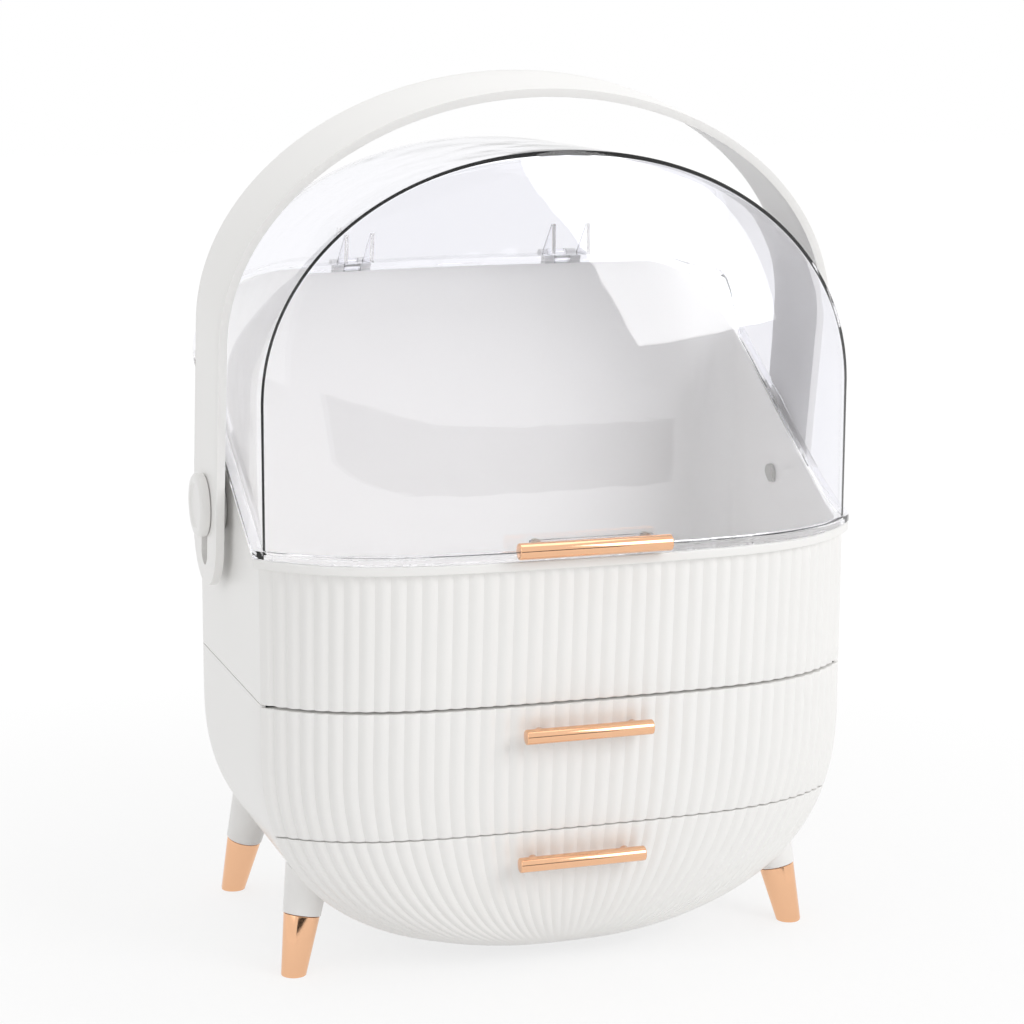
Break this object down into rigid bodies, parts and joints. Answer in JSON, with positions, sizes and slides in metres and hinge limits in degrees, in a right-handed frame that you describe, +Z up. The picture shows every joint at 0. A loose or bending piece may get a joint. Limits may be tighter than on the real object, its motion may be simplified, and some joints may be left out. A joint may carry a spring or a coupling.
{
  "type": "dustproof makeup organizer",
  "caption": "Egg-shaped makeup organizer with a clear hinged dome lid, fluted drawers, rose gold pulls and legs, and a carry handle that swings and lifts",
  "frame": {"origin": "on the floor under the middle of the whole object's bounding box", "axes": "+X to the object's right seen from the front, +Y to its rear, +Z up; the drawers open towards -Y"},
  "size_m": [0.306, 0.1968, 0.406],
  "materials": {
    "white_plastic": "moulded white plastic with a soft gloss",
    "clear_plastic": "clear moulded acrylic-like plastic",
    "rose_gold": "polished rose gold plating",
    "steel": "bright zinc-plated steel"
  },
  "bodies": {
    "case": {"upper_bin": "white_plastic", "lower_shell": "white_plastic", "drawer_shelf": "white_plastic", "left_hinge_pin": "steel", "right_hinge_pin": "steel", "left_pivot_boss": "white_plastic", "right_pivot_boss": "white_plastic", "front_left_leg_cone": "white_plastic", "front_right_leg_cone": "white_plastic", "rear_left_leg_cone": "white_plastic", "rear_right_leg_cone": "white_plastic", "front_left_leg_tip": "rose_gold", "front_right_leg_tip": "rose_gold", "rear_left_leg_tip": "rose_gold", "rear_right_leg_tip": "rose_gold"},
    "lid": {"lid": "clear_plastic", "lid_pull": "rose_gold", "lid_pull_left_screw": "steel", "lid_pull_right_screw": "steel"},
    "middle_drawer": {"middle_drawer_front": "white_plastic", "middle_drawer_tray": "white_plastic", "middle_drawer_pull": "rose_gold", "middle_drawer_left_screw": "steel", "middle_drawer_right_screw": "steel"},
    "bottom_drawer": {"bottom_drawer_front": "white_plastic", "bottom_drawer_tray": "white_plastic", "bottom_drawer_pull": "rose_gold", "bottom_drawer_left_screw": "steel", "bottom_drawer_right_screw": "steel"},
    "pivots": {"left_pivot_button": "white_plastic", "right_pivot_button": "white_plastic", "left_pivot_screw": "steel", "right_pivot_screw": "steel"},
    "handle": {"handle_band": "white_plastic"}
  },
  "joints": [
    {"name": "lid_hinge", "type": "hinge", "parent": "case", "child": "lid", "pos_m": [0, 0.09525, 0.3121], "axis": [-1, 0, 0], "range_deg": [0, 85]},
    {"name": "handle_swing", "type": "hinge", "parent": "case", "child": "pivots", "pos_m": [0, 0.02475, 0.209], "axis": [-1, 0, 0], "range_deg": [0, 107]},
    {"name": "handle_lift", "type": "slide", "parent": "pivots", "child": "handle", "axis": [0, -0.1409, 0.99], "range_m": [0, 0.0227]},
    {"name": "middle_drawer_slide", "type": "slide", "parent": "case", "child": "middle_drawer", "axis": [0, -1, 0], "range_m": [0, 0.11]},
    {"name": "bottom_drawer_slide", "type": "slide", "parent": "case", "child": "bottom_drawer", "axis": [0, -1, 0], "range_m": [0, 0.11]}
  ],
  "couplings": [
    {"joint": "handle_swing", "follows": "lid_hinge", "ratio": 1.25}
  ]
}
